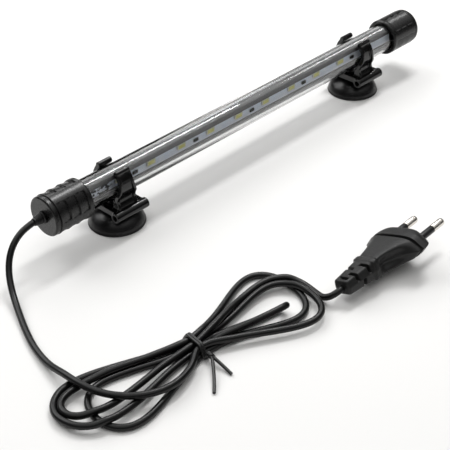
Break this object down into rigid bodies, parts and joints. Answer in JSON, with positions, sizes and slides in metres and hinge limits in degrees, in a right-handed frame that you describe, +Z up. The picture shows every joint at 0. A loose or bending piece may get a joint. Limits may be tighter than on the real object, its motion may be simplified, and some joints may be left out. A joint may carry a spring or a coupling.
{
  "type": "led aquarium light",
  "caption": "Slim submersible tube light with a row of LEDs on a half-round carrier, held by snap clips on suction cups, with a tied mains cord and flat two-pin plug.",
  "frame": {"origin": "on the surface the suction cups stand on, under the middle of the tube", "axes": "+X along the tube away from the cord end, +Z up, the LEDs face -Y"},
  "size_m": [0.3625, 0.159, 0.0362],
  "materials": {
    "clear_acrylic": "clear, polished",
    "cap_black": "semi-gloss black",
    "clip_black": "glossy black",
    "black_rubber": "satin black",
    "dark_carrier": "dark anodised",
    "white_board": "white solder mask",
    "green_board": "green solder mask",
    "led_phosphor": "yellow phosphor in a clear lens",
    "part_black": "black epoxy",
    "part_beige": "lacquered",
    "wire_brown": "insulation",
    "wire_blue": "insulation",
    "wire_red": "insulation",
    "black_cord": "satin black sheath",
    "tie_black": "coated wire",
    "plug_black": "matte moulded",
    "nickel": "plated brass"
  },
  "bodies": {
    "lamp": {"clear_tube": "clear_acrylic", "near_end_cap": "cap_black", "far_end_cap": "cap_black", "near_cap_seal": "black_rubber", "far_cap_seal": "black_rubber", "near_end_plug": "black_rubber", "far_end_plug": "black_rubber", "led_carrier": "dark_carrier", "led_board": "white_board", "led_1": "led_phosphor", "led_2": "led_phosphor", "led_3": "led_phosphor", "led_4": "led_phosphor", "led_5": "led_phosphor", "led_6": "led_phosphor", "led_7": "led_phosphor", "led_8": "led_phosphor", "led_9": "led_phosphor", "led_10": "led_phosphor", "chip_resistor_1": "part_black", "chip_resistor_2": "part_black", "chip_resistor_3": "part_black", "chip_resistor_4": "part_black", "chip_resistor_5": "part_black", "driver_board": "green_board", "dropper_capacitor": "part_beige", "bridge_rectifier": "part_black", "smoothing_capacitor": "part_black", "live_wire": "wire_brown", "neutral_wire": "wire_blue", "positive_lead": "wire_red", "negative_lead": "part_black", "cord_gland": "black_rubber", "cord_run": "black_cord", "cord_lead": "black_cord", "cord_hank": "black_cord", "cord_tie": "tie_black", "plug_body": "plug_black", "left_plug_pin": "nickel", "right_plug_pin": "nickel", "left_pin_sleeve": "plug_black", "right_pin_sleeve": "plug_black"},
    "near_bracket": {"near_clip": "clip_black"},
    "near_cup": {"near_suction_cup": "black_rubber"},
    "far_bracket": {"far_clip": "clip_black"},
    "far_cup": {"far_suction_cup": "black_rubber"}
  },
  "joints": [
    {"name": "near_clip_turn", "type": "hinge", "parent": "lamp", "child": "near_bracket", "pos_m": [-0.0995, 0, 0.0253], "axis": [1, 0, 0], "continuous": true},
    {"name": "near_cup_turn", "type": "hinge", "parent": "near_bracket", "child": "near_cup", "pos_m": [-0.0995, 0, 0.012], "axis": [0, 0, 1], "continuous": true},
    {"name": "far_clip_turn", "type": "hinge", "parent": "lamp", "child": "far_bracket", "pos_m": [0.0945, 0, 0.0253], "axis": [1, 0, 0], "continuous": true},
    {"name": "far_cup_turn", "type": "hinge", "parent": "far_bracket", "child": "far_cup", "pos_m": [0.0945, 0, 0.012], "axis": [0, 0, 1], "continuous": true}
  ]
}
